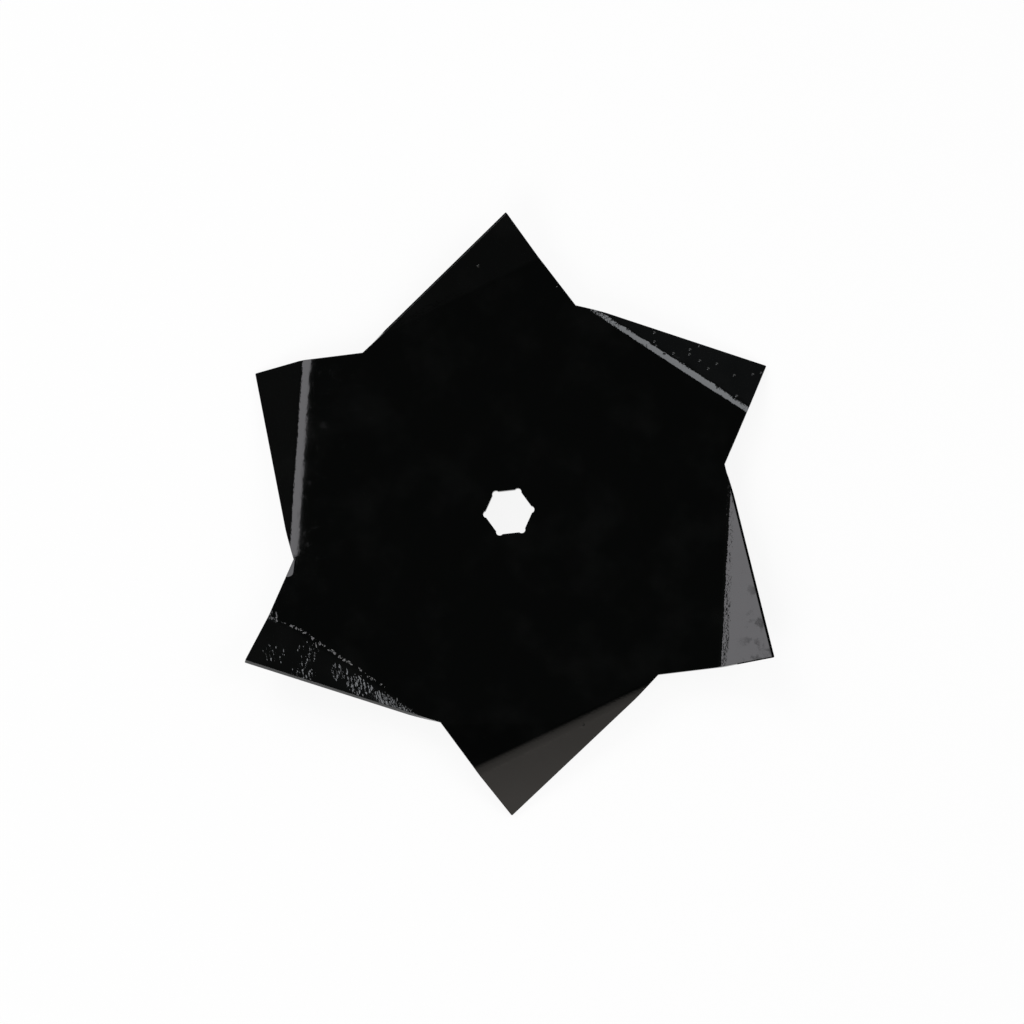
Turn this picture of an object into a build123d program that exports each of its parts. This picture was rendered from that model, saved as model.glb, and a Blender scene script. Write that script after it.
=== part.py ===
from build123d import *
from math import cos, radians, sin
import os

# Star harrow disc: one steel plate cut to a six-pointed star with a hexagonal
# hole, its outer triangles bent out of the plate by turns up and down.
# Millimetres and degrees. The origin is the centre of the hole, halfway through
# the plate. +Z is the disc's axis, and one point of the star as cut lies on +Y.

# Plate
THICKNESS = 4.0
POINTS = 6

# Outline of the star as cut, before bending
POINT_RADIUS = 231.0
ROOT_RADIUS = 166.0  # to the inner corners, the valleys between the points
POINT_LEAD = 41.3  # from a valley, clockwise, to the point after it

# Bend of each outer triangle, from its valley across to its short side
BEND_ANGLE = 30.0
BEND_INNER_RADIUS = 13.0
BEND_LEAD = 16.0  # from the valley, clockwise, to the bend's outward normal

# Hexagonal hole for the bar, with a round relief in each corner
HEX_ACROSS_FLATS = 32.5
HEX_LEAD = 6.3  # from a valley, clockwise, to a corner of the hole
RELIEF_RADIUS = 2.7
RELIEF_OVERSHOOT = 0.55  # how far a relief reaches past the hexagon's corner

# Worked out from the sizes above
STEP_ANGLE = 360.0 / POINTS
FIRST_VALLEY = 90.0 + POINT_LEAD
MIDDLE_RADIUS = BEND_INNER_RADIUS + THICKNESS / 2
BEND_RUN = MIDDLE_RADIUS * radians(BEND_ANGLE)

# Cross-sections along a bend that carry its slanting cut edges
FLANK_SECTIONS = 5


def polar(radius, angle):
    """A point of the plate's middle plane, its angle counted from +X."""
    return Vector(radius * cos(radians(angle)), radius * sin(radians(angle)), 0)


def polygon(plane, corners):
    """A flat face with straight sides, its corners given in a plane's own coordinates."""
    return make_face(Polyline([plane.from_local_coords(c) for c in corners], close=True))


def bend_frame():
    """The plate's plane at one bend: x outward across the bend line, y along it."""
    valley = polar(ROOT_RADIUS, FIRST_VALLEY)
    outward = polar(1, FIRST_VALLEY - BEND_LEAD)
    return Plane(origin=outward * valley.dot(outward), x_dir=outward, z_dir=(0, 0, 1))


def triangle_corners(frame):
    """Valley, point and short-side end of one outer triangle, as cut, in its bend frame."""
    valley = frame.to_local_coords(polar(ROOT_RADIUS, FIRST_VALLEY))
    point = frame.to_local_coords(polar(POINT_RADIUS, FIRST_VALLEY - POINT_LEAD))
    next_valley = frame.to_local_coords(polar(ROOT_RADIUS, FIRST_VALLEY - STEP_ANGLE))
    share = point.X / (point.X - next_valley.X)
    return valley, point, point + (next_valley - point) * share


def hex_hole():
    """The hexagon for the bar and the round reliefs in its corners."""
    corner_radius = HEX_ACROSS_FLATS / 2 / cos(radians(30))
    first_corner = FIRST_VALLEY - HEX_LEAD
    hole = RegularPolygon(corner_radius, 6, rotation=first_corner)
    relief_place = corner_radius + RELIEF_OVERSHOOT - RELIEF_RADIUS
    for corner in range(6):
        hole += Pos(polar(relief_place, first_corner + 60 * corner)) * Circle(RELIEF_RADIUS)
    return hole


def flat_middle():
    """The plate inside the bend lines, with the hole cut through."""
    frame = bend_frame()
    valley, _, short_end = triangle_corners(frame)
    side = [frame.from_local_coords(valley), frame.from_local_coords(short_end)]
    turns = [-STEP_ANGLE * turn for turn in range(POINTS)]
    corners = [corner.rotate(Axis.Z, turn) for turn in turns for corner in side]
    outline = polygon(Plane.XY, corners)
    return extrude(outline - hex_hole(), amount=THICKNESS / 2, both=True)


def sheet_plane(frame, angle):
    """The sheet's middle plane after a part of the bend: x runs on outward, z stands on it."""
    turned = Pos(0, 0, MIDDLE_RADIUS) * Rot(0, -angle, 0) * Pos(0, 0, -MIDDLE_RADIUS)
    return Plane(frame.location * turned)


def raised_triangle():
    """One outer triangle bent up, its cut edges square to the sheet all the way."""
    frame = bend_frame()
    valley, point, short_end = triangle_corners(frame)

    def sides_at(run):
        share = run / point.X
        return [end.Y + (point.Y - end.Y) * share for end in (valley, short_end)]

    def cross_section(angle, half_height):
        near, far = sides_at(MIDDLE_RADIUS * radians(angle))
        corners = [(0, y, z) for y, z in (
            (near, -half_height), (far, -half_height), (far, half_height), (near, half_height))]
        return polygon(sheet_plane(frame, angle), corners)

    # The bend is a turned section, then cut to its two slanting sides
    bend_axis = Axis(frame.from_local_coords((0, 0, MIDDLE_RADIUS)), -frame.y_dir)
    bend = revolve(cross_section(0, THICKNESS / 2), axis=bend_axis, revolution_arc=BEND_ANGLE)
    angles = [BEND_ANGLE * n / (FLANK_SECTIONS - 1) for n in range(FLANK_SECTIONS)]
    bend &= loft([cross_section(angle, THICKNESS) for angle in angles])

    near, far = sides_at(BEND_RUN)
    tip = (point.X - BEND_RUN, point.Y)
    triangle = polygon(sheet_plane(frame, BEND_ANGLE), [(0, near), tip, (0, far)])
    return bend + extrude(triangle, amount=THICKNESS / 2, both=True)


def star_disc():
    """The flat middle with its outer triangles bent up and down by turns."""
    raised = raised_triangle()
    lowered = mirror(raised, about=Plane.XY)
    disc = flat_middle()
    for turn in range(POINTS):
        triangle = lowered if turn % 2 else raised
        disc += Rot(0, 0, -STEP_ANGLE * turn) * triangle
    return disc


os.makedirs("parts", exist_ok=True)
export_step(star_disc(), "parts/star_disc.step")
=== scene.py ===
from collections import namedtuple
from math import atan2, cos, pi, radians, sin

import bpy
from bpy.props import FloatProperty, FloatVectorProperty, IntProperty, PointerProperty
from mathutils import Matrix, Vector


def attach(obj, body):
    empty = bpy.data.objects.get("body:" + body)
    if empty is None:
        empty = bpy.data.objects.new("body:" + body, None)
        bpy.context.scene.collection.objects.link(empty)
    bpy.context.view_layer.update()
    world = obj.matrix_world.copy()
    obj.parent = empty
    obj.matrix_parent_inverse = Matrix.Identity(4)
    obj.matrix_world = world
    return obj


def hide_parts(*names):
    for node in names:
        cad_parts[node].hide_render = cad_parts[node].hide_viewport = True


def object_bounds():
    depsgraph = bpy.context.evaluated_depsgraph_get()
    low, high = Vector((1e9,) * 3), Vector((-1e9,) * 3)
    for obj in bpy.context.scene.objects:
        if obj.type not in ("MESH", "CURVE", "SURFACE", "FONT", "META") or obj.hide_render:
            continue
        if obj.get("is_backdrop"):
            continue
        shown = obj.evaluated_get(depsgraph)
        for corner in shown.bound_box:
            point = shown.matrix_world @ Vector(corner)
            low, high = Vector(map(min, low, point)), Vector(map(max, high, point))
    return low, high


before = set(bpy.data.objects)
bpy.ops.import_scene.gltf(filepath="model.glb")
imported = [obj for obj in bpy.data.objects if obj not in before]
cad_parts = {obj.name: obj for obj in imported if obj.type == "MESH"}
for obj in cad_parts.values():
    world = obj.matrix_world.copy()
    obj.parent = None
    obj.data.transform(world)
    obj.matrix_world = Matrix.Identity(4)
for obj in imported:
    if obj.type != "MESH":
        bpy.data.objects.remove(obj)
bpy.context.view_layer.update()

bl_info = {
    "name": "Star Harrow Disc",
    "version": (1, 0, 0),
    "blender": (4, 5, 0),
    "location": "View3D > Sidebar > Harrow",
    "description": "Models a bent, black enamelled star harrow disc and its photo studio",
    "category": "Object",
}

POINTS = 6
HOLE_CORNERS = 6
TOLERANCE = 1e-6
MILLIMETRE = 0.001


# Sizes and colours

class DiscSizes(bpy.types.PropertyGroup):
    point_radius: FloatProperty(
        name="Point Radius", description="From the hole's centre to a point of the star, as cut",
        default=0.231, min=0.05, unit="LENGTH")
    root_radius: FloatProperty(
        name="Root Radius", description="From the hole's centre to the valleys between the points",
        default=0.166, min=0.03, unit="LENGTH")
    point_lead: FloatProperty(
        name="Point Lead", description="Turn from a valley, clockwise, to the point after it",
        default=radians(41.3), unit="ROTATION")
    thickness: FloatProperty(
        name="Thickness", description="Thickness of the plate",
        default=0.004, min=0.001, unit="LENGTH")
    bend_angle: FloatProperty(
        name="Bend Angle", description="How far each triangle is bent out of the plate",
        default=radians(30), unit="ROTATION")
    bend_inner_radius: FloatProperty(
        name="Bend Inner Radius", description="Radius on the hollow side of each bend",
        default=0.013, min=0.001, unit="LENGTH")
    bend_lead: FloatProperty(
        name="Bend Lead", description="Turn from a valley, clockwise, to the bend's outward direction",
        default=radians(16), unit="ROTATION")
    bend_steps: IntProperty(
        name="Bend Steps", description="Strips that each bend is rolled from",
        default=12, min=2, max=40)
    hex_across_flats: FloatProperty(
        name="Hole Across Flats", description="Hexagonal hole for the bar",
        default=0.0325, min=0.005, unit="LENGTH")
    hex_lead: FloatProperty(
        name="Hole Lead", description="Turn from a valley, clockwise, to a corner of the hole",
        default=radians(6.3), unit="ROTATION")
    relief_radius: FloatProperty(
        name="Relief Radius", description="Round relief in each corner of the hole",
        default=0.0027, min=0.0005, unit="LENGTH")
    relief_overshoot: FloatProperty(
        name="Relief Overshoot", description="How far a relief reaches past the hexagon's corner",
        default=0.00055, min=0.0, unit="LENGTH")
    relief_sides: IntProperty(
        name="Relief Sides", description="Sides that a whole relief would have",
        default=40, min=12, max=120)
    edge_round: FloatProperty(
        name="Edge Round", description="Painted rounding along the cut edges",
        default=0.0005, min=0.0001, unit="LENGTH")
    tip_round: FloatProperty(
        name="Tip Round", description="Rounding of the six points, seen from above",
        default=0.0010, min=0.0001, unit="LENGTH")
    round_segments: IntProperty(
        name="Round Segments", description="Segments across each rounding",
        default=3, min=1, max=8)


class EnamelFinish(bpy.types.PropertyGroup):
    enamel: FloatVectorProperty(
        name="Enamel", description="Colour of the black enamel",
        default=(0.0014, 0.0016, 0.0015), subtype="COLOR", min=0.0, max=1.0)
    haze: FloatVectorProperty(
        name="Haze", description="Colour of the enamel under faint haze",
        default=(0.0026, 0.0028, 0.0027), subtype="COLOR", min=0.0, max=1.0)
    roughness: FloatProperty(
        name="Roughness", description="Roughness of the clean enamel",
        default=0.03, min=0.0, max=1.0, subtype="FACTOR")
    haze_dulls: FloatProperty(
        name="Haze Dulls", description="Roughness that haze adds",
        default=0.02, min=0.0, max=1.0, subtype="FACTOR")
    smudge_dulls: FloatProperty(
        name="Smudge Dulls", description="Roughness that small smudges add",
        default=0.05, min=0.0, max=1.0, subtype="FACTOR")
    smear_dulls: FloatProperty(
        name="Smear Dulls", description="Roughness that smears add",
        default=0.17, min=0.0, max=1.0, subtype="FACTOR")
    peel: FloatProperty(
        name="Orange Peel", description="Height of the orange peel in millimetres",
        default=0.006, min=0.0)
    ripple: FloatProperty(
        name="Bend Ripple", description="Height of the ripples along the bends in millimetres",
        default=0.11, min=0.0)
    dents: FloatProperty(
        name="Dents", description="How many times deeper the dents on the dusty point are",
        default=5.0, min=0.0)
    draw_down: FloatProperty(
        name="Draw Down", description="Slope of the corners that the lowered points draw down",
        default=0.14, min=0.0)
    craze: FloatProperty(
        name="Crazing", description="Height of the wrinkles on the crazed point in millimetres",
        default=0.55, min=0.0)
    crazed_point: IntProperty(
        name="Crazed Point", description="Which point is crazed, counted anticlockwise from the top",
        default=2, min=0, max=5)
    nib: FloatProperty(
        name="Nib Height", description="Height of the dust nibs in millimetres",
        default=0.20, min=0.0)
    nib_rarity: FloatProperty(
        name="Nib Rarity", description="Share of the bent points' small fields without a nib",
        default=0.985, min=0.0, max=1.0, subtype="FACTOR")
    dust: FloatProperty(
        name="Dust", description="Share of small fields that gain a nib on the dusty point",
        default=0.25, min=0.0, max=1.0, subtype="FACTOR")
    dusty_point: IntProperty(
        name="Dusty Point", description="Which point has the most nibs, counted as the crazed one",
        default=5, min=0, max=5)
    smeared_point: IntProperty(
        name="Smeared Point", description="Which point has smears near its tip, counted likewise",
        default=4, min=0, max=5)


class StudioSetup(bpy.types.PropertyGroup):
    floor: FloatVectorProperty(
        name="Floor", description="Colour of the studio floor",
        default=(0.90, 0.90, 0.90), subtype="COLOR", min=0.0, max=1.0)
    floor_side: FloatProperty(
        name="Floor Side", description="Side of the square floor",
        default=12.0, min=2.0, unit="LENGTH")
    floor_white: FloatProperty(
        name="Floor White", description="How far the floor is plain white, past its own shading",
        default=0.88, min=0.0, max=1.0, subtype="FACTOR")
    fill_light: FloatProperty(
        name="Fill Light", description="Brightness of the light from all round",
        default=0.40, min=0.0)
    card_height: FloatProperty(
        name="Card Height", description="Height of the reflector cards",
        default=0.30, min=0.1, unit="LENGTH")
    flag_raise: FloatProperty(
        name="Flag Raise", description="Height of the black flags above the floor",
        default=0.001, min=0.0, unit="LENGTH")
    camera_place: FloatVectorProperty(
        name="Camera Place", description="Where the camera stands",
        default=(0.1021, -0.2862, 2.0011), subtype="TRANSLATION", unit="LENGTH")
    camera_turn: FloatVectorProperty(
        name="Camera Turn", description="How the camera leans from looking straight down",
        default=(0.1421, 0.0493, -0.0218), subtype="EULER")
    camera_lens: FloatProperty(
        name="Camera Lens", description="Focal length in millimetres, for a frame 36 mm wide",
        default=94.574, min=10.0)


# Modelling helpers

def polar(radius, angle, height=0.0):
    """A place given by its distance from the disc's axis and its turn from +X."""
    return Vector((radius * cos(angle), radius * sin(angle), height))


def start_afresh():
    """Object mode, with nothing selected."""
    if bpy.context.object and bpy.context.object.mode != "OBJECT":
        bpy.ops.object.mode_set(mode="OBJECT")
    bpy.ops.object.select_all(action="DESELECT")


def edit_nothing(kind):
    """Takes every vertex, edge and face out of the selection, for choosing anew by this kind."""
    bpy.ops.object.mode_set(mode="EDIT")
    bpy.ops.mesh.select_mode(type=kind)
    bpy.ops.mesh.select_all(action="DESELECT")
    bpy.ops.object.mode_set(mode="OBJECT")


def edit_vertices(obj, chosen):
    """Goes into edit mode with the vertices selected that are chosen, one yes or no for each."""
    edit_nothing("VERT")
    obj.data.vertices.foreach_set("select", chosen)
    bpy.ops.object.mode_set(mode="EDIT")


def edit_faces(obj, test):
    """Goes into edit mode with the faces selected that have a corner whose place passes the test."""
    edit_nothing("FACE")
    passed = [test(vertex.co) for vertex in obj.data.vertices]
    for face in obj.data.polygons:
        face.select = any(passed[corner] for corner in face.vertices)
    bpy.ops.object.mode_set(mode="EDIT")


def turn_selection(angle, axis="Z", centre=(0, 0, 0)):
    """Turns what is selected. The operator counts its angle the other way when it has no window."""
    bpy.ops.transform.rotate(value=-angle, orient_axis=axis, orient_type="GLOBAL",
                             center_override=centre)


def turn_disc(angle):
    """Turns the whole disc about its axis."""
    bpy.ops.object.mode_set(mode="EDIT")
    bpy.ops.mesh.select_all(action="SELECT")
    turn_selection(angle)
    bpy.ops.object.mode_set(mode="OBJECT")


def apply_modifier(obj, kind, **settings):
    """Adds a modifier with these settings and applies it."""
    bpy.ops.object.modifier_add(type=kind)
    modifier = obj.modifiers[-1]
    for name, value in settings.items():
        setattr(modifier, name, value)
    bpy.ops.object.modifier_apply(modifier=modifier.name)


# The disc

def star_blank(sizes):
    """The flat star as cut."""
    bpy.ops.mesh.primitive_circle_add(
        vertices=2 * POINTS, radius=sizes.root_radius, fill_type="NGON",
        location=(0, 0, -sizes.thickness / 2), rotation=(0, 0, sizes.point_lead))
    disc = bpy.context.object
    bpy.ops.object.transform_apply()

    # The corners halfway between valleys are drawn out to points and turned to lean
    first_valley = pi / 2 + sizes.point_lead
    turns = [atan2(vertex.co.y, vertex.co.x) - first_valley for vertex in disc.data.vertices]
    edit_vertices(disc, [cos(POINTS * turn) < 0 for turn in turns])
    turn_selection(pi / POINTS - sizes.point_lead)
    draw = sizes.point_radius / sizes.root_radius
    bpy.ops.transform.resize(value=(draw, draw, 1), center_override=(0, 0, 0))

    bpy.ops.mesh.select_all(action="SELECT")
    bpy.ops.mesh.extrude_region_move(TRANSFORM_OT_translate={"value": (0, 0, sizes.thickness)})
    bpy.ops.mesh.select_all(action="SELECT")
    bpy.ops.mesh.normals_make_consistent(inside=False)
    bpy.ops.object.mode_set(mode="OBJECT")
    return disc


def round_tips(disc, sizes):
    """Rounds the upright edge at each point of the star."""
    inside_tips = sizes.point_radius - TOLERANCE
    edit_vertices(disc, [vertex.co.xy.length > inside_tips for vertex in disc.data.vertices])
    bpy.ops.mesh.bevel(offset=sizes.tip_round, segments=sizes.round_segments, affect="EDGES")
    bpy.ops.object.mode_set(mode="OBJECT")


def cut_hole(disc, sizes):
    """Cuts the hexagonal hole with a round relief in each corner."""
    corner_radius = sizes.hex_across_flats / 2 / cos(pi / HOLE_CORNERS)
    first_corner = pi / 2 + sizes.point_lead - sizes.hex_lead
    depth = 4 * sizes.thickness
    start_afresh()
    bpy.ops.mesh.primitive_cylinder_add(
        vertices=HOLE_CORNERS, radius=corner_radius, depth=depth,
        rotation=(0, 0, first_corner - pi / 2))
    cutters = [bpy.context.object]
    relief_place = corner_radius + sizes.relief_overshoot - sizes.relief_radius
    bpy.ops.mesh.primitive_cylinder_add(
        vertices=sizes.relief_sides, radius=sizes.relief_radius, depth=depth,
        location=polar(relief_place, first_corner))
    cutters.append(bpy.context.object)
    for _ in range(HOLE_CORNERS - 1):
        bpy.ops.object.duplicate()
        turn_selection(2 * pi / HOLE_CORNERS)
        cutters.append(bpy.context.object)
    for cutter in cutters:
        start_afresh()
        disc.select_set(True)
        bpy.context.view_layer.objects.active = disc
        apply_modifier(disc, "BOOLEAN", operation="DIFFERENCE", solver="EXACT", object=cutter)
    start_afresh()
    for cutter in cutters:
        cutter.select_set(True)
    bpy.ops.object.delete()
    disc.select_set(True)
    bpy.context.view_layer.objects.active = disc


def round_rims(disc, sizes):
    """Rounds the cut edges on both faces, as blasting and paint leave them."""
    edit_nothing("EDGE")
    bpy.ops.object.mode_set(mode="EDIT")
    bpy.ops.mesh.edges_select_sharp(sharpness=radians(60))
    bpy.ops.object.mode_set(mode="OBJECT")
    places = disc.data.vertices
    for edge in disc.data.edges:
        heights = [abs(places[number].co.z) for number in edge.vertices]
        same_face = places[edge.vertices[0]].co.z * places[edge.vertices[1]].co.z > 0
        on_face = same_face and min(heights) > sizes.thickness / 2 - TOLERANCE
        edge.select = edge.select and on_face
    bpy.ops.object.mode_set(mode="EDIT")
    bpy.ops.mesh.bevel(offset=sizes.edge_round, segments=sizes.round_segments, affect="EDGES",
                       clamp_overlap=True)
    bpy.ops.object.mode_set(mode="OBJECT")


def roll_bend(disc, sizes, way):
    """Rolls the triangle that lies over +X out of the plate, strip by strip from its tip inward."""
    start = sizes.root_radius * cos(sizes.bend_lead)
    valley = sizes.root_radius * sin(sizes.bend_lead)
    middle_radius = sizes.bend_inner_radius + sizes.thickness / 2
    turn = sizes.bend_angle / sizes.bend_steps
    strip = middle_radius * turn
    just_past = 0.01

    def beyond(line):
        return lambda place: place.x > start + line * strip - TOLERANCE and place.y < valley

    for line in range(sizes.bend_steps + 1):
        edit_faces(disc, beyond(line + just_past))
        bpy.ops.mesh.bisect(plane_co=(start + line * strip, 0, 0), plane_no=(1, 0, 0))

    # The selections are taken while the plate is flat, and each roll carries all beyond its line
    bpy.ops.object.mode_set(mode="OBJECT")
    flat = [vertex.co.copy() for vertex in disc.data.vertices]
    for line in range(sizes.bend_steps, 0, -1):
        edit_vertices(disc, [beyond(line)(place) for place in flat])
        bpy.ops.transform.translate(value=(-strip, 0, 0))
        turn_selection(-way * turn, "Y", (start + (line - 1) * strip, 0, way * middle_radius))
    bpy.ops.object.mode_set(mode="OBJECT")


def bend_triangles(disc, sizes):
    """Brings each triangle over +X in turn and rolls it, one up and the next down."""
    outward = pi / 2 + sizes.point_lead - sizes.bend_lead
    turn_disc(-outward)
    for number in range(POINTS):
        roll_bend(disc, sizes, -1 if number % 2 else 1)
        turn_disc(2 * pi / POINTS)
    turn_disc(outward)


def finish_shading(disc):
    """Smooth rims and bends, while the flats keep their own direction."""
    bpy.ops.object.shade_smooth_by_angle(angle=radians(40))
    apply_modifier(disc, "WEIGHTED_NORMAL", mode="FACE_AREA", weight=60, keep_sharp=True)


class HARROW_OT_star_disc(bpy.types.Operator):
    """Model the star disc: cut, drilled, rounded, bent and enamelled"""
    bl_idname = "harrow.star_disc"
    bl_label = "Star Disc"
    bl_options = {"REGISTER", "UNDO"}

    def execute(self, context):
        sizes = context.scene.harrow_disc
        start_afresh()
        disc = star_blank(sizes)
        disc.name = disc.data.name = "star_disc_plate"
        round_tips(disc, sizes)
        cut_hole(disc, sizes)
        round_rims(disc, sizes)
        bend_triangles(disc, sizes)
        finish_shading(disc)
        disc.data.materials.append(black_enamel(context.scene.harrow_enamel, sizes))
        if len(disc.data.polygons) < POINTS * sizes.bend_steps:
            raise RuntimeError("the disc came out without its bends")
        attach(disc, "root")
        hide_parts("star_disc")
        return {"FINISHED"}


# Finish

class Nodes:
    """Adds nodes to one tree and joins them."""

    def __init__(self, tree):
        self.tree = tree

    def add(self, kind, settings=(), **inputs):
        """One node, with its settings. Its inputs are values or outputs, by name or as _number."""
        node = self.tree.nodes.new(kind)
        for name, value in dict(settings).items():
            setattr(node, name, value)
        for name, value in inputs.items():
            socket = int(name[1:]) if name[0] == "_" else name.replace("_", " ")
            self.put(node.inputs[socket], value)
        return node

    def put(self, socket, value):
        """Joins an output to the socket, or sets the socket's own value."""
        if isinstance(value, bpy.types.NodeSocket):
            self.tree.links.new(value, socket)
        else:
            socket.default_value = value

    def math(self, operation, first, second=0.0, third=0.0):
        node = self.add("ShaderNodeMath", {"operation": operation},
                        _0=first, _1=second, _2=third)
        return node.outputs[0]

    def total(self, first, *others):
        for other in others:
            first = self.math("ADD", first, other)
        return first

    def product(self, first, *others):
        for other in others:
            first = self.math("MULTIPLY", first, other)
        return first

    def length(self, x, y):
        """How far the place x, y lies from the middle."""
        flat = self.add("ShaderNodeCombineXYZ", X=x, Y=y).outputs["Vector"]
        return self.add("ShaderNodeVectorMath", {"operation": "LENGTH"}, _0=flat).outputs["Value"]

    def ease(self, value, low, high, start=0.0, end=1.0):
        """From start to end, smoothly, as the value goes from low to high, which may be below it."""
        node = self.add("ShaderNodeMapRange", {"interpolation_type": "SMOOTHSTEP"},
                        Value=value, From_Min=low, From_Max=high, To_Min=start, To_Max=end)
        return node.outputs["Result"]

    def ramp(self, value, stops):
        """Colours read off along a row of stops, each a position and a colour."""
        node = self.add("ShaderNodeValToRGB", Fac=value)
        elements = node.color_ramp.elements
        while len(elements) < len(stops):
            elements.new(0.5)
        for element, (position, colour) in zip(elements, stops):
            element.position = position
            element.color = (*colour, 1)
        return node.outputs["Color"]

    def noise(self, place, scale, detail, roughness=0.5):
        """Noise from 0 to 1, its scale in cells for each metre."""
        node = self.add("ShaderNodeTexNoise", Vector=place, Scale=scale, Detail=detail,
                        Roughness=roughness)
        return node.outputs["Fac"]

    def even_noise(self, place, scale, detail):
        """Noise that rises and falls evenly about 0."""
        return self.math("SUBTRACT", self.noise(place, scale, detail), 0.5)


def new_material(name):
    """A material, the maker of its nodes and its Principled shader."""
    material = bpy.data.materials.new(name)
    material.use_nodes = True
    tree = material.node_tree
    return material, Nodes(tree), tree.nodes["Principled BSDF"]


def bend_places(sizes):
    """Node group: where a place lies beside the nearest bend, and which point it belongs to.

    Off is the distance outward from the start of the bend, Along the distance along it, and
    Point counts the points anticlockwise."""
    tree = bpy.data.node_groups.new("bend_places", "ShaderNodeTree")
    for name in ("Off", "Along", "Point"):
        tree.interface.new_socket(name=name, in_out="OUTPUT", socket_type="NodeSocketFloat")
    tree.interface.new_socket(name="Place", in_out="INPUT", socket_type="NodeSocketVector")
    make = Nodes(tree)
    place = make.add("NodeGroupInput").outputs["Place"]
    parts = make.add("ShaderNodeSeparateXYZ", Vector=place).outputs
    step = 2 * pi / POINTS
    outward = pi / 2 + sizes.point_lead - sizes.bend_lead

    # A point's own field starts this far clockwise of its bend's outward direction
    behind = radians(38)
    turn = make.math("ARCTAN2", parts["Y"], parts["X"])
    steps = make.math("DIVIDE", make.total(turn, 2 * pi - outward + behind), step)
    lean = make.math("SUBTRACT", make.product(make.math("FRACT", steps), step), behind)
    point = make.math("FLOORED_MODULO", make.math("FLOOR", steps), float(POINTS))
    reach = make.length(parts["X"], parts["Y"])
    start = sizes.root_radius * cos(sizes.bend_lead)
    off = make.math("SUBTRACT", make.product(reach, make.math("COSINE", lean)), start)
    along = make.product(reach, make.math("SINE", lean))
    make.add("NodeGroupOutput", Off=off, Along=along, Point=point)
    return tree


# A place on the disc, as bend_places gives it, and how far every bend reaches: outward,
# along to its valley, and along to its short side
Spot = namedtuple("Spot", "place off along point bend_end valley short_end")


def find_spot(make, sizes):
    """The place that is being shaded."""
    place = make.add("ShaderNodeTexCoord").outputs["Object"]
    where = make.add("ShaderNodeGroup", {"node_tree": bend_places(sizes)}, Place=place).outputs
    bend_end = (sizes.bend_inner_radius + sizes.thickness / 2) * sin(sizes.bend_angle)
    valley = sizes.root_radius * sin(sizes.bend_lead)

    # The short side runs from the point as cut to the next valley, across the bend's start
    start = sizes.root_radius * cos(sizes.bend_lead)
    tip = polar(sizes.point_radius, sizes.bend_lead - sizes.point_lead)
    next_valley = polar(sizes.root_radius, sizes.bend_lead - 2 * pi / POINTS)
    share = (tip.x - start) / (tip.x - next_valley.x)
    short_end = tip.lerp(next_valley, share).y
    return Spot(place, where["Off"], where["Along"], where["Point"], bend_end, valley, short_end)


def on_point(make, spot, number):
    """1 on one point of the star, 0 elsewhere."""
    half_a_point = 0.5
    return make.math("COMPARE", spot.point, float(number), half_a_point)


def bend_ripples(make, spot, finish):
    """Marks of the press along the bends, with broader dents in their outer half."""
    in_bend = make.product(
        make.ease(spot.off, low=0.0, high=0.004),
        make.ease(spot.off, low=spot.bend_end + 0.0045, high=spot.bend_end + 0.0005),
        make.ease(spot.along, low=spot.valley + 0.006, high=spot.valley))
    deeper = make.product(on_point(make, spot, finish.dusty_point), finish.dents - 1)
    dents = make.product(
        make.total(deeper, 1.0),
        make.even_noise(spot.place, scale=90.0, detail=1.0),
        make.ease(spot.off, low=0.003, high=0.006))
    marks = make.total(make.even_noise(spot.place, scale=520.0, detail=2.0), dents)
    plain = make.math("SUBTRACT", 1.0, on_point(make, spot, finish.crazed_point))
    return make.product(marks, plain, in_bend, finish.ripple)


def drawn_corners(make, spot, finish):
    """Past its valley, a point that goes down draws the plate's corner down a little with it."""
    lowered = make.math("FLOORED_MODULO", spot.point, 2.0)
    corner = make.product(
        make.ease(spot.along, low=spot.valley, high=spot.valley + 0.004),
        make.ease(spot.along, low=spot.valley + 0.014, high=spot.valley + 0.006),
        make.ease(spot.off, low=-0.002, high=0.0),
        lowered)
    return make.product(spot.off, corner, -finish.draw_down / MILLIMETRE)


# Clusters of crazing on the crazed point: distance off the bend, distance along it, reach
CRAZE_CLUSTERS = (
    (0.005, -0.103, 0.006),
    (0.026, -0.085, 0.013),
    (0.026, -0.059, 0.013),
    (0.010, -0.066, 0.013),
    (0.011, -0.039, 0.009),
    (0.009, -0.021, 0.012),
)


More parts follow.
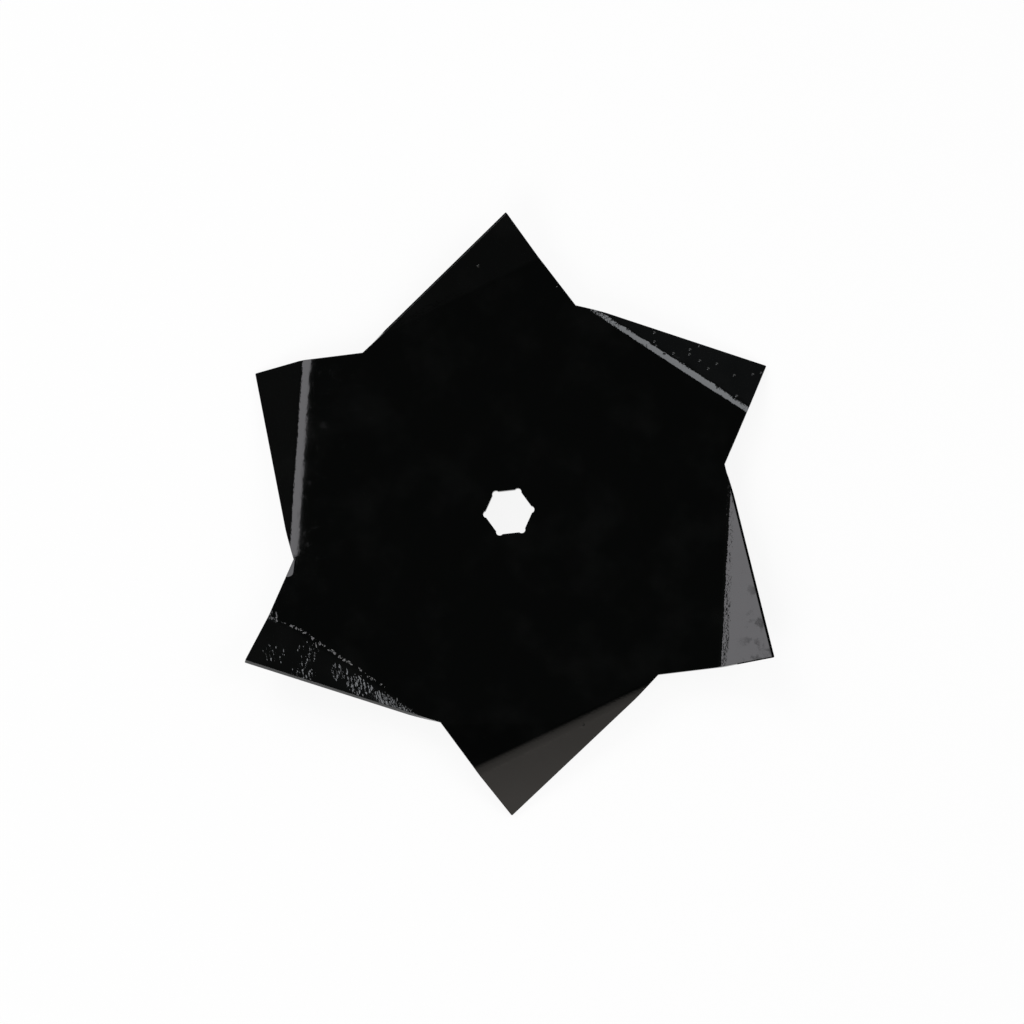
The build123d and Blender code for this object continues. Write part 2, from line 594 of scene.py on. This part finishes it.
def crazing(make, spot, finish):
    """Upright wrinkles in clusters over one point, finer ones by its valley, and a row of beads."""
    upright = make.add("ShaderNodeMapping", {"vector_type": "TEXTURE"}, Vector=spot.place,
                       Rotation=(0, 0, radians(14)), Scale=(1, 4, 1)).outputs["Vector"]
    clusters = 0.0
    for off, along, reach in CRAZE_CLUSTERS:
        apart = make.length(make.math("SUBTRACT", spot.off, off),
                            make.math("SUBTRACT", spot.along, along))
        cluster = make.ease(apart, low=reach, high=reach / 2)
        clusters = make.math("MAXIMUM", cluster, clusters)
    wrinkles = make.product(make.even_noise(upright, scale=470.0, detail=1.0), clusters)

    fine_share = 0.8
    by_valley = make.product(
        make.ease(spot.along, low=spot.valley - 0.058, high=spot.valley - 0.038),
        make.ease(spot.along, low=spot.valley - 0.004, high=spot.valley - 0.012),
        make.ease(spot.off, low=-0.001, high=0.003),
        make.ease(spot.off, low=0.013, high=0.008))
    fine = make.product(make.even_noise(upright, scale=700.0, detail=1.0), by_valley, fine_share)

    # The row leaves the bend a little towards its short side, and ends halfway to the valley
    bead_share = 2.4
    bead_reach = 0.0018
    row = make.ease(spot.along, low=spot.short_end + 0.001, high=spot.short_end + 0.030,
                    start=0.0060, end=0.0012)
    from_row = make.math("ABSOLUTE", make.math("SUBTRACT", spot.off, row))
    beads = make.product(
        make.even_noise(spot.place, scale=330.0, detail=0.0),
        make.ease(from_row, low=bead_reach, high=0.0),
        make.ease(spot.along, low=0.010, high=-0.010),
        bead_share)
    crazed = on_point(make, spot, finish.crazed_point)
    return make.product(make.total(wrinkles, fine, beads), crazed, finish.craze)


def dust_nibs(make, spot, finish):
    """Nibs of dust under the paint of the bent points."""
    fields = make.add("ShaderNodeTexVoronoi", {"voronoi_dimensions": "2D"},
                      Vector=spot.place, Scale=150.0).outputs
    draw = make.add("ShaderNodeSeparateColor", Color=fields["Color"]).outputs[0]
    dusty = make.product(on_point(make, spot, finish.dusty_point), finish.dust,
                         make.ease(spot.off, low=0.060, high=0.010))
    chosen = make.ease(make.total(draw, dusty),
                       low=finish.nib_rarity, high=finish.nib_rarity + 0.005)
    return make.product(
        make.ease(fields["Distance"], low=0.19, high=0.02),
        chosen,
        make.ease(spot.off, low=0.002, high=0.006),
        finish.nib)


def smears(make, spot, finish):
    """Duller patches on one point, from its middle to its tip."""
    patches = make.noise(spot.place, scale=75.0, detail=3.0, roughness=0.6)
    return make.product(
        make.ease(patches, low=0.48, high=0.64),
        make.ease(spot.off, low=0.012, high=0.028),
        on_point(make, spot, finish.smeared_point))


def black_enamel(finish, sizes):
    """High-gloss black enamel, with orange peel, dust nibs and crazed and rippled bends."""
    material, make, shader = new_material("black_enamel")
    spot = find_spot(make, sizes)
    haze = make.ease(make.noise(spot.place, scale=22.0, detail=3.0, roughness=0.55),
                     low=0.45, high=0.72)
    smudge = make.ease(make.noise(spot.place, scale=140.0, detail=4.0, roughness=0.6),
                       low=0.56, high=0.70)
    colour = make.add("ShaderNodeMix", {"data_type": "RGBA"}, _0=haze,
                      _6=(*finish.enamel, 1), _7=(*finish.haze, 1)).outputs[2]
    dull = make.total(
        make.product(haze, finish.haze_dulls),
        make.product(smudge, finish.smudge_dulls),
        make.product(smears(make, spot, finish), finish.smear_dulls),
        finish.roughness)
    peel = make.product(make.noise(spot.place, scale=300.0, detail=1.0, roughness=0.4), finish.peel)
    height = make.total(
        peel,
        bend_ripples(make, spot, finish),
        drawn_corners(make, spot, finish),
        crazing(make, spot, finish),
        dust_nibs(make, spot, finish))
    bump = make.add("ShaderNodeBump", Strength=1.0, Distance=MILLIMETRE, Height=height)
    make.put(shader.inputs["Base Color"], colour)
    make.put(shader.inputs["Roughness"], dull)
    make.put(shader.inputs["Normal"], bump.outputs["Normal"])
    return material


# Studio

# Reflector cards over the disc, which only its gloss sees: name, corners seen from above,
# tint, and brightness at places from the front to the rear, or one for the whole card
CARDS = (
    ("left_card",
     ((-0.180, 0.60), (-0.186, 0.26), (-0.187, 0.18), (-0.1985, 0.01), (-0.224, -0.01),
      (-0.226, -0.09), (-0.345, -0.09), (-0.34, 0.03), (-0.42, 0.217), (-0.44, 0.26), (-0.44, 0.60)),
     (1.0, 0.985, 1.03), ((0.0, 3.1),)),
    ("rear_card",
     ((0.25, 0.19), (0.20, 0.212), (0.165, 0.242), (0.140, 0.278), (0.128, 0.305), (0.140, 0.34),
      (0.26, 0.53), (0.30, 0.50), (0.36, 0.47), (0.33, 0.30)),
     (0.96, 0.99, 1.03), ((0.0, 4.2),)),
    ("front_card",
     ((-0.10, -0.14), (0.42, -0.14), (0.42, -0.74), (-0.10, -0.74)),
     (1.06, 0.99, 0.92),
     ((-0.66, 0.90), (-0.60, 0.75), (-0.50, 0.66), (-0.40, 0.60), (-0.31, 0.52),
      (-0.245, 0.32), (-0.205, 0.08), (-0.18, 0.0))),
)

# Black flags on the floor, which keep its white out of two cut edges: name, corners
FLAGS = (
    ("right_flag", ((0.17, 0.09), (0.17, -0.15), (0.40, -0.15), (0.40, 0.09))),
    ("rear_flag", ((-0.16, 0.11), (0.03, 0.27), (-0.06, 0.42), (-0.26, 0.24))),
)

# Soft boxes far off the disc: name, place, side, brightness, where 1 would look white
SOFT_BOXES = (
    ("right_box", (1.25, 0.0, 1.50), 1.0, 2.6),
    ("left_rear_box", (-0.65, 1.10, 1.50), 1.0, 4.2),
    ("left_front_box", (-0.65, -1.10, 1.50), 1.0, 4.2),
)

# The backdrop that gloss sees, from the horizon up: height as a share, brightness
CEILING = ((0.12, 1.0), (0.24, 0.045), (0.70, 0.040), (0.92, 0.012))

# Cool daylight from the rear right, which only gloss sees: direction, tint, brightness
DAYLIGHT = ((0.5, 0.8, 0.0), (0.80, 1.0, 1.15), 0.025)


def card_material(name, tint, fade):
    """Glow of one reflector card, which may fade along Y."""
    material, make, shader = new_material(name)
    material.node_tree.nodes.remove(shader)

    # A stop's colour goes up to 1, so the tint has room in the strength
    room = 1.1
    brightest = max(brightness for _, brightness in fade)
    glow = make.add("ShaderNodeEmission", Strength=brightest * room)
    colours = [[channel * brightness / brightest / room for channel in tint] for _, brightness in fade]
    if len(fade) == 1:
        make.put(glow.inputs["Color"], (*colours[0], 1))
    else:
        first, last = fade[0][0], fade[-1][0]
        place = make.add("ShaderNodeTexCoord").outputs["Object"]
        along = make.add("ShaderNodeSeparateXYZ", Vector=place).outputs["Y"]
        share = make.add("ShaderNodeMapRange", Value=along, From_Min=first, From_Max=last)
        stops = [((y - first) / (last - first), colour) for (y, _), colour in zip(fade, colours)]
        make.put(glow.inputs["Color"], make.ramp(share.outputs["Result"], stops))
    make.put(material.node_tree.nodes["Material Output"].inputs["Surface"], glow.outputs["Emission"])
    return material


def flag_material():
    """Dead black cloth."""
    material, _, shader = new_material("black_flag")
    shader.inputs["Base Color"].default_value = (0.002, 0.002, 0.002, 1)
    shader.inputs["Roughness"].default_value = 1.0
    shader.inputs["Specular IOR Level"].default_value = 0.0
    return material


def add_card(name, corners, height, material):
    """A level card that only reflections show, drawn corner by corner."""
    start_afresh()
    bpy.ops.mesh.primitive_circle_add(
        vertices=len(corners), radius=0.1, fill_type="NGON", location=(0, 0, height))
    card = bpy.context.object
    card.name = name
    bpy.ops.object.transform_apply()
    starts = [vertex.co.copy() for vertex in card.data.vertices]
    for start, corner in zip(starts, corners):
        edit_vertices(card, [other is start for other in starts])
        bpy.ops.transform.translate(value=Vector((*corner, height)) - start)
        bpy.ops.object.mode_set(mode="OBJECT")
    card.data.materials.append(material)
    card.visible_camera = card.visible_diffuse = card.visible_shadow = False
    card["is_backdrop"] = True


def add_soft_box(name, place, side, brightness):
    """A square lamp aimed at the disc."""
    start_afresh()
    bpy.ops.object.light_add(type="AREA", location=place)
    lamp = bpy.context.object
    lamp.name = name
    lamp.rotation_euler = (-Vector(place)).to_track_quat("-Z", "Y").to_euler()
    lamp.data.shape = "SQUARE"
    lamp.data.size = side
    lamp.data.energy = pi * side * side * brightness


def seen_directly(make):
    """1 where the camera, gloss or glass looks at a surface, 0 where it only lights others."""
    path = make.add("ShaderNodeLightPath").outputs
    ways = make.total(path["Is Camera Ray"], path["Is Glossy Ray"], path["Is Transmission Ray"])
    return make.math("MINIMUM", ways, 1.0)


def floor_material(studio):
    """Matt white floor: white to the camera and to gloss, with the disc's shadow left on it."""
    material, make, shader = new_material("studio_floor")
    shader.inputs["Base Color"].default_value = (*studio.floor, 1)
    shader.inputs["Roughness"].default_value = 0.9
    shader.inputs["Specular IOR Level"].default_value = 0.0
    white = make.add("ShaderNodeEmission", Strength=1.0)
    mix = make.add("ShaderNodeMixShader", Fac=make.product(seen_directly(make), studio.floor_white),
                   _1=shader.outputs["BSDF"], _2=white.outputs["Emission"])
    make.put(material.node_tree.nodes["Material Output"].inputs["Surface"], mix.outputs["Shader"])
    return material


def studio_world(studio):
    """White backdrop low round the horizon, a dark ceiling over it, and plain fill light."""
    world = bpy.context.scene.world or bpy.data.worlds.new("studio")
    bpy.context.scene.world = world
    world.use_nodes = True
    make = Nodes(world.node_tree)
    direction = make.add("ShaderNodeTexCoord").outputs["Generated"]
    height = make.add("ShaderNodeSeparateXYZ", Vector=direction).outputs["Z"]
    backdrop = make.ramp(height, [(place, [brightness] * 3) for place, brightness in CEILING])

    towards, tint, brightness = DAYLIGHT
    facing = make.add("ShaderNodeVectorMath", {"operation": "DOT_PRODUCT"}, _0=direction, _1=towards)
    in_daylight = make.product(make.ease(facing.outputs["Value"], low=0.3, high=0.85),
                               make.ease(height, low=0.44, high=0.36))
    daylight = (*[channel * brightness for channel in tint], 1)
    backdrop = make.add("ShaderNodeMix", {"data_type": "RGBA", "blend_type": "ADD"},
                        _0=in_daylight, _6=backdrop, _7=daylight).outputs[2]

    path = make.add("ShaderNodeLightPath").outputs
    gloss = make.math("MAXIMUM", path["Is Glossy Ray"], path["Is Transmission Ray"])
    fill = (studio.fill_light, studio.fill_light, studio.fill_light, 1)
    unseen = make.add("ShaderNodeMix", {"data_type": "RGBA"}, _0=gloss, _6=fill, _7=backdrop)
    shown = make.add("ShaderNodeMix", {"data_type": "RGBA"}, _0=path["Is Camera Ray"],
                     _6=unseen.outputs[2], _7=(1, 1, 1, 1))
    make.put(world.node_tree.nodes["Background"].inputs["Color"], shown.outputs[2])


def add_camera(studio):
    """The photograph's view: from above, leaning a little to the right and to the front."""
    start_afresh()
    bpy.ops.object.camera_add(location=studio.camera_place)
    camera = bpy.context.object
    camera.name = "photo_camera"
    camera.rotation_mode = "ZYX"
    camera.rotation_euler = studio.camera_turn
    camera.data.lens = studio.camera_lens
    camera.data.sensor_width = 36
    camera.data.clip_end = 20
    bpy.context.scene.camera = camera


class HARROW_OT_studio(bpy.types.Operator):
    """Set up the pale floor, the cards and flags, the soft boxes, the backdrop and the camera"""
    bl_idname = "harrow.studio"
    bl_label = "Studio"
    bl_options = {"REGISTER", "UNDO"}

    def execute(self, context):
        studio = context.scene.harrow_studio
        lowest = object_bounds()[0].z
        start_afresh()
        bpy.ops.mesh.primitive_plane_add(size=studio.floor_side, location=(0, 0, lowest))
        floor = context.object
        floor.name = "studio_floor"
        floor.data.materials.append(floor_material(studio))
        floor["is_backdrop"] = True
        for name, corners, tint, fade in CARDS:
            add_card(name, corners, studio.card_height, card_material(name, tint, fade))
        for name, corners in FLAGS:
            add_card(name, corners, lowest + studio.flag_raise, flag_material())
        for box in SOFT_BOXES:
            add_soft_box(*box)
        studio_world(studio)
        add_camera(studio)
        context.scene.view_settings.view_transform = "Standard"
        return {"FINISHED"}


class HARROW_PT_panel(bpy.types.Panel):
    """The disc and its studio"""
    bl_idname = "HARROW_PT_panel"
    bl_label = "Star Harrow Disc"
    bl_space_type = "VIEW_3D"
    bl_region_type = "UI"
    bl_category = "Harrow"

    def draw(self, context):
        self.layout.operator(HARROW_OT_star_disc.bl_idname)
        self.layout.operator(HARROW_OT_studio.bl_idname)


CLASSES = (DiscSizes, EnamelFinish, StudioSetup, HARROW_OT_star_disc, HARROW_OT_studio,
           HARROW_PT_panel)


def register():
    for item in CLASSES:
        bpy.utils.register_class(item)
    bpy.types.Scene.harrow_disc = PointerProperty(type=DiscSizes)
    bpy.types.Scene.harrow_enamel = PointerProperty(type=EnamelFinish)
    bpy.types.Scene.harrow_studio = PointerProperty(type=StudioSetup)


def unregister():
    del bpy.types.Scene.harrow_studio
    del bpy.types.Scene.harrow_enamel
    del bpy.types.Scene.harrow_disc
    for item in reversed(CLASSES):
        bpy.utils.unregister_class(item)


def main():
    register()
    bpy.ops.harrow.star_disc()
    bpy.ops.harrow.studio()


if __name__ == "__main__":
    main()
